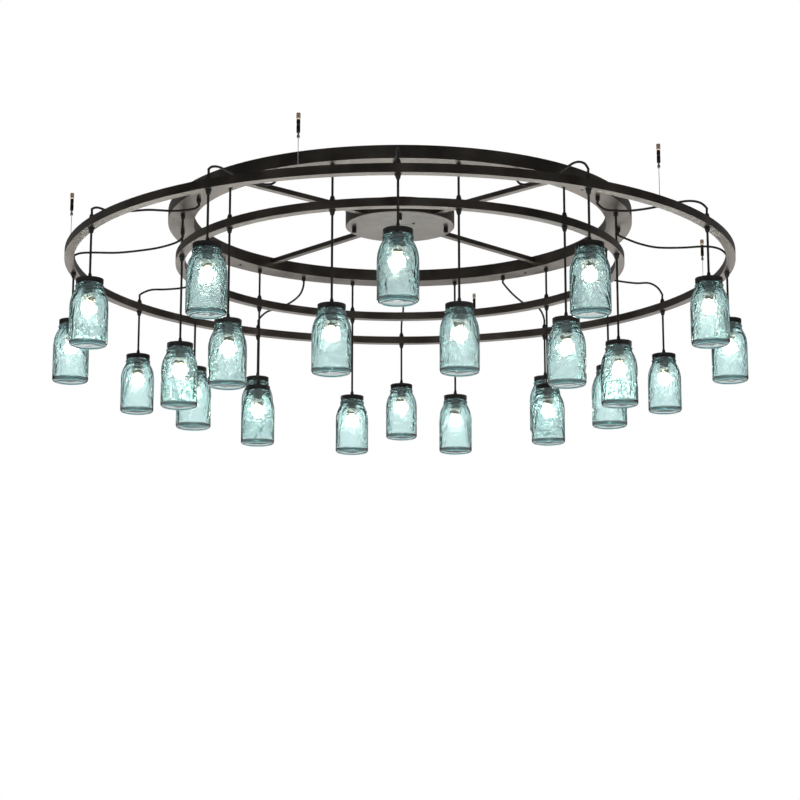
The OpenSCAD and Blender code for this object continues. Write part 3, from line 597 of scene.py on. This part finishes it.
RELIEF = lathe_mesh("cord_relief", relief_outline(), BLACK_NYLON, 40)
LID = lathe_mesh("jar_lid", lid_outline(), SATIN_BLACK, 96)
# The holder's grey is painted reflection over black nylon.
HOLDER = lathe_mesh("lamp_holder", holder_outline(), HOLDER_PAINTED_REFLECTION, 64)
HOLDER_RING = lathe_mesh("lamp_holder_ring", holder_ring_outline(), PORCELAIN, 64)
LAMP = lathe_mesh("lamp", lamp_outline(), LIT_GLOBE, 64, smooth_angle=60)
JAR = lathe_mesh("jar", jar_outline(), AQUA_GLASS, 128, smooth_angle=60, shift=ripple)


# Each jar stands turned by this many times its place on the ring, so that no two show the same side.
# The outermost ones come square to the axes.
JAR_TURNS = 7


def pendant(ring, number, angle):
    """The pieces of one pendant and its jar, on their own bodies."""
    name = f"{ring}_pendant_{number}"
    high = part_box(f"{ring}_jar_{number}")[1].z + RIM_DROP
    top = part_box(name)[1].z - CORD_R
    axis = around(RINGS[ring], angle, high)
    turned = Matrix.Translation(axis) @ Matrix.Rotation(radians(angle * JAR_TURNS), 4, "Z")
    for part, mesh, material_slot in (("relief", RELIEF, "black_nylon"), ("lid", LID, "satin_black"),
                                      ("holder", HOLDER, "black_nylon"), ("ring", HOLDER_RING, None),
                                      ("lamp", LAMP, None)):
        piece = link(f"{name}_{part}", mesh)
        piece.matrix_world = turned
        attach(piece, f"{name}_body")
        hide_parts(name)
    cord = cord_piece(f"{name}_cord", [axis + Vector((0, 0, -5 * MM)), around(RINGS[ring], angle, top)],
                      CORD_R, CORD_JACKET, domed=True)
    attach(cord, f"{name}_body")
    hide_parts(name)
    jar = link(f"{ring}_jar_{number}_glass", JAR)
    jar.matrix_world = turned
    jar.visible_shadow = False
    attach(jar, f"{ring}_jar_{number}_body")
    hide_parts(f"{ring}_jar_{number}")


for k in range(PER_RING):
    pendant("outer", f"{k + 1:02}", outer_angles[k])
    pendant("inner", f"{k + 1:02}", inner_angles[k])


# Suspension: twisted cables, and grippers in three metals
CABLE_R, STRAND_R, CORE_R, LAY_LENGTH = 0.9 * MM, 0.3 * MM, 0.3 * MM * 1.05, 11 * MM
CABLES, FIRST_CABLE = 6, -15
CABLE_LOW, CABLE_TOP, STOP_TOP = -162 * MM, -35 * MM, -153 * MM
TIP_TOP, TIP_LOW, TIP_R, TIP_SOCKET_R, TIP_SOCKET_LOW = -15 * MM, -31 * MM, 5 * MM, 3 * MM, -24 * MM
GRIPPER_TOP, GRIPPER_LOW, GRIPPER_R = -31.1 * MM, -64 * MM, 4.5 * MM
COLLAR_TOP, COLLAR_LOW, COLLAR_R, STEM_R, STEM_TOP = -68 * MM, -77 * MM, 3.5 * MM, 2 * MM, -58 * MM


def cable_mesh():
    """Six strands laid round a core, down to the stop inside the hoop at the lower end."""
    vertices, faces = [], []
    rings, sides, strands = 64, 6, 6

    def tube(centre, radius):
        first = len(vertices)
        for i in range(rings + 1):
            z = CABLE_LOW + (CABLE_TOP - CABLE_LOW) * i / rings
            for s in range(sides):
                t = 2 * pi * s / sides
                vertices.append(centre(z) + Vector((radius * cos(t), radius * sin(t), z)))
        for i in range(rings):
            for s in range(sides):
                low, nxt = first + i * sides, (s + 1) % sides
                faces.append((low + s, low + nxt, low + sides + nxt, low + sides + s))
        faces.append(tuple(first + s for s in reversed(range(sides))))
        faces.append(tuple(first + rings * sides + s for s in range(sides)))

    def strand(k):
        def centre(z):
            t = 2 * pi * (z / LAY_LENGTH + k / strands)
            return (CABLE_R - STRAND_R) * Vector((cos(t), sin(t), 0))
        return centre

    tube(lambda z: Vector((0, 0, 0)), CORE_R)
    for k in range(strands):
        tube(strand(k), STRAND_R)
    mesh = bpy.data.meshes.new("suspension_cable")
    mesh.from_pydata(vertices, [], faces)
    mesh.update()
    mesh.shade_smooth()
    mesh.materials.append(CABLE_STEEL)
    return mesh


def tip_outline():
    bore = TIP_SOCKET_R
    body = [(TIP_R - 1.4 * MM, TIP_LOW), (TIP_R, TIP_LOW + 2.4 * MM), (TIP_R, TIP_TOP - 0.6 * MM),
            (TIP_R - 0.6 * MM, TIP_TOP), (bore, TIP_TOP)]
    return [(0, TIP_LOW), *rounded(body, 0.4 * MM), (bore, TIP_SOCKET_LOW), (0, TIP_SOCKET_LOW)]


def gripper_outline():
    body = [(GRIPPER_R - 1 * MM, GRIPPER_LOW), (GRIPPER_R, GRIPPER_LOW + 2 * MM), (GRIPPER_R, -46 * MM),
            (GRIPPER_R - 0.5 * MM, -45 * MM), (GRIPPER_R - 0.5 * MM, -43.6 * MM), (GRIPPER_R, -42.6 * MM),
            (GRIPPER_R, GRIPPER_TOP - 0.8 * MM), (GRIPPER_R - 0.8 * MM, GRIPPER_TOP)]
    return [(STEM_R + 0.2 * MM, GRIPPER_LOW), *rounded(body, 0.3 * MM), (CABLE_R + 0.2 * MM, GRIPPER_TOP),
            (CABLE_R + 0.2 * MM, -50 * MM), (STEM_R + 0.2 * MM, -50 * MM)]


def collar_outline():
    bore = CABLE_R + 0.2 * MM
    edge = COLLAR_R - 0.6 * MM
    body = [(edge, COLLAR_LOW), (COLLAR_R, COLLAR_LOW + 0.8 * MM), (COLLAR_R, COLLAR_TOP - 2 * MM),
            (edge, COLLAR_TOP), (STEM_R, COLLAR_TOP), (STEM_R, STEM_TOP)]
    return [(bore, COLLAR_LOW), *rounded(body, 0.3 * MM), (bore, STEM_TOP)]


def stop_outline():
    return [(0, CABLE_LOW), *rounded([(2.2 * MM, CABLE_LOW), (3 * MM, CABLE_LOW + 1 * MM), (3 * MM, STOP_TOP),
                                      (1 * MM, STOP_TOP)], 0.4 * MM), (0, STOP_TOP)]


HANGERS = (
    ("suspension_cable", cable_mesh(), "suspension_cables", "steel_cable"),
    ("cable_stop", lathe_mesh("cable_stop", stop_outline(), CABLE_STEEL, 32), "suspension_cables",
     "steel_cable"),
    ("gripper_tip", lathe_mesh("gripper_tip", tip_outline(), BRASS, 40), "cable_grippers", "gripper_brass"),
    ("gripper_body", lathe_mesh("gripper_body", gripper_outline(), GRIPPER_BROWN, 40), "cable_grippers",
     "satin_black"),
    ("release_collar", lathe_mesh("release_collar", collar_outline(), ZINC, 32), "cable_grippers",
     "zinc_steel"),
)
for k in range(CABLES):
    for part, mesh, node, material_slot in HANGERS:
        piece = link(f"{part}_{k + 1}", mesh)
        piece.location = around(RINGS["outer"], FIRST_CABLE + 360 / CABLES * k)
        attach(piece, "frame")
        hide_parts(node)


# Floor and sky of the studio
FLOOR_Z, FLOOR_HALF = -2.6, 9.0
BACKDROP_WAY = (0, 0.97, 0.243)


def studio_floor():
    """A pale floor that hides nothing from a camera below it."""
    corners = [(x * FLOOR_HALF, y * FLOOR_HALF, FLOOR_Z) for x, y in ((-1, -1), (1, -1), (1, 1), (-1, 1))]
    mesh = bpy.data.meshes.new("studio_floor")
    mesh.from_pydata(corners, [], [(0, 1, 2, 3)])
    f = Finish("pale floor", Base_Color=(0.82, 0.82, 0.81), Roughness=0.9)
    under = f.node("ShaderNodeNewGeometry", out="Backfacing")
    clear = f.node("ShaderNodeBsdfTransparent")
    share = f.node("ShaderNodeMixShader", {}, {"Fac": under})
    f.links.new(f.shader.outputs[0], share.socket.node.inputs[1])
    f.links.new(clear.socket, share.socket.node.inputs[2])
    f.links.new(share.socket, f.output.inputs["Surface"])
    mesh.materials.append(f.material)
    floor = link("studio_floor", mesh)
    floor.visible_transmission = False


def studio_sky():
    """Plain white as the camera sees it, and even light on matt faces. What gloss and glass show of
    it is brightest towards the backdrop and overhead, and dim in front."""
    world = bpy.data.worlds.new("studio")
    bpy.context.scene.world = world
    sky = Nodes(world, "ShaderNodeOutputWorld")
    way = sky.node("ShaderNodeTexCoord", out="Generated")
    depth = sky.node("ShaderNodeSeparateXYZ", sockets={"Vector": way}, out="Y")
    height = sky.node("ShaderNodeSeparateXYZ", sockets={"Vector": way}, out="Z")
    ahead = sky.node("ShaderNodeVectorMath", {"operation": "DOT_PRODUCT"}, {0: way, 1: BACKDROP_WAY},
                     out="Value")
    eye, through, matt, gloss = (sky.node("ShaderNodeLightPath", out=f"Is {kind} Ray")
                                 for kind in ("Camera", "Transmission", "Diffuse", "Glossy"))
    shine = depth.between(-0.2, 0.6, 0.035, 0.12) + height.between(0.5, 0.95, 0.0, 0.4)
    backdrop = ahead.between(0.84, 0.965) * 0.8 + ahead.between(0.35, 0.75, 0.6, 0.12)
    seen = eye + through * backdrop + matt * 1.8 + gloss * shine
    light = sky.node("ShaderNodeBackground", sockets={"Color": (1, 1, 1), "Strength": seen})
    sky.links.new(light.socket, sky.output.inputs["Surface"])


studio_floor()
studio_sky()
scene = bpy.context.scene
scene.view_settings.view_transform = "Standard"
